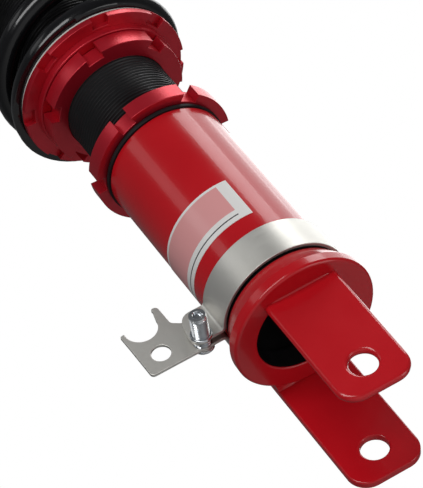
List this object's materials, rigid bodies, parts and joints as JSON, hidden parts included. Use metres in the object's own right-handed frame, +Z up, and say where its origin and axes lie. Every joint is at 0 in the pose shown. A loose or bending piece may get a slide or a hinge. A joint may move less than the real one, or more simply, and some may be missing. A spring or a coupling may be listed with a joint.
{
  "type": "coilover",
  "caption": "Height adjustable coil-over damper with a fork lower bracket, slotted lock rings, a threaded body, a coil spring and a swivelling stud top mount.",
  "frame": {"origin": "on the lower bolt's axis, where it crosses the damper's centre line", "axes": "+Z up along the damper's centre line towards the top mount, +Y along the lower bolt towards the outer fork ear, +X away from the hose bracket"},
  "size_m": [0.1163, 0.128, 0.5061],
  "materials": {
    "red_paint": "gloss red powder coat",
    "red_anodised": "satin red anodised",
    "stainless": "rolled stainless sheet",
    "zinc_steel": "zinc plated",
    "label_film": "blank printed film",
    "seal_rubber": "matt black rubber",
    "black_steel": "satin black oxide",
    "spring_paint": "gloss black powder coat",
    "nylon": "natural nylon",
    "hard_chrome": "ground hard chrome",
    "bare_alloy": "turned aluminium",
    "bearing_polymer": "filled bearing polymer",
    "bump_foam": "microcellular foam",
    "spring_steel": "ground steel"
  },
  "bodies": {
    "bracket": {"bracket_tube": "red_paint", "fork_ear_inner": "red_paint", "fork_ear_outer": "red_paint", "ear_weld_inner": "red_paint", "ear_weld_outer": "red_paint", "hose_bracket": "stainless", "clamp_screw": "zinc_steel", "clamp_nut": "zinc_steel", "blank_label": "label_film", "bracket_seal_ring": "seal_rubber"},
    "bracket_ring": {"bracket_lock_ring": "red_anodised"},
    "damper_body": {"threaded_body": "black_steel", "base_plug": "black_steel", "base_plug_oring": "seal_rubber", "gas_screw": "zinc_steel", "topout_ring": "bearing_polymer", "rod_guide": "bare_alloy", "rod_seal": "seal_rubber", "gland_nut": "black_steel"},
    "floating_piston": {"gas_piston": "bare_alloy", "gas_piston_oring": "seal_rubber"},
    "spring_slide": {"perch_washer": "nylon", "coil_spring": "spring_paint"},
    "perch": {"spring_perch": "red_anodised"},
    "perch_ring": {"perch_lock_ring": "red_anodised"},
    "rod": {"piston_rod": "hard_chrome", "piston": "bare_alloy", "piston_band": "bearing_polymer", "rebound_shims": "spring_steel", "compression_shims": "spring_steel", "piston_nut": "zinc_steel", "bump_stop": "bump_foam", "dust_boot": "seal_rubber", "upper_washer": "nylon", "upper_seat": "red_anodised", "seat_spacer": "bare_alloy", "pivot_ball": "spring_steel", "rod_washer": "zinc_steel", "rod_nut": "zinc_steel"},
    "top_mount": {"mount_plate": "red_anodised", "ball_race": "spring_steel", "race_snap_ring": "spring_steel", "mount_studs": "zinc_steel"}
  },
  "joints": [
    {"name": "ride_height", "type": "slide", "parent": "bracket", "child": "damper_body", "axis": [0, 0, 1], "range_m": [-0.02, 0.025]},
    {"name": "bracket_ring_turn", "type": "hinge", "parent": "bracket", "child": "bracket_ring", "pos_m": [0, 0, 0.1797], "axis": [0, 0, 1], "range_deg": [-4501, 3601]},
    {"name": "perch_height", "type": "slide", "parent": "damper_body", "child": "spring_slide", "axis": [0, 0, 1], "range_m": [-0.012, 0]},
    {"name": "perch_turn", "type": "hinge", "parent": "spring_slide", "child": "perch", "pos_m": [0, 0, 0.2344], "axis": [0, 0, 1], "range_deg": [-2161, 1]},
    {"name": "perch_ring_turn", "type": "hinge", "parent": "spring_slide", "child": "perch_ring", "pos_m": [0, 0, 0.2247], "axis": [0, 0, 1], "range_deg": [-2161, 1]},
    {"name": "damper_stroke", "type": "slide", "parent": "damper_body", "child": "rod", "axis": [0, 0, 1], "range_m": [-0.068, 0], "stiffness_N_per_m": 58800, "springref_m": 0.002, "deforming": ["coil_spring"]},
    {"name": "gas_piston_slide", "type": "slide", "parent": "damper_body", "child": "floating_piston", "axis": [0, 0, 1], "range_m": [-0.008, 0]},
    {"name": "top_mount_tilt", "type": "hinge", "parent": "rod", "child": "top_mount", "pos_m": [0, 0, 0.4582], "axis": [0, 1, 0], "range_deg": [-8, 8]}
  ],
  "couplings": [
    {"joint": "bracket_ring_turn", "follows": "ride_height", "rad_per_m": -3141.6},
    {"joint": "perch_turn", "follows": "perch_height", "rad_per_m": 3141.6},
    {"joint": "perch_ring_turn", "follows": "perch_height", "rad_per_m": 3141.6},
    {"joint": "gas_piston_slide", "follows": "damper_stroke", "ratio": 0.10124}
  ]
}
